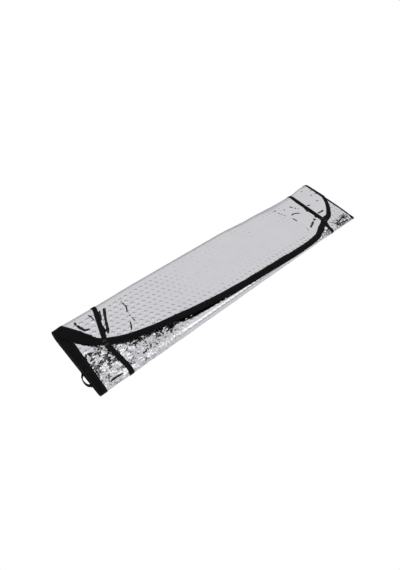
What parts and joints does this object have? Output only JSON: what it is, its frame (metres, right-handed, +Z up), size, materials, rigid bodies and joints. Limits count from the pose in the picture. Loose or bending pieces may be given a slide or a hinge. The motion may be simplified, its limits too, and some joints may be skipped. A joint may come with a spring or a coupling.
{
  "type": "windscreen sunshade",
  "caption": "Windscreen sunshade of silver bubble foil with black fabric binding, folded flat into a long packet and held by elastic straps, with a small hanging loop",
  "frame": {"origin": "on the surface it lies on, under the middle of the packet", "axes": "+X along the packet from the end with the hanging loop to the other end, +Y from the front fold to the back fold, +Z up"},
  "size_m": [0.6781, 0.1523, 0.0264],
  "materials": {
    "foil": "satin silver foil over bubble film",
    "binding": "matt black woven tape",
    "elastic": "matt black ribbed elastic",
    "ribbon": "matt black woven ribbon"
  },
  "bodies": {
    "root": {"foil_sheet": "foil", "edge_binding": "binding", "strap_left": "elastic", "strap_right": "elastic", "hanging_loop": "ribbon"}
  },
  "joints": []
}
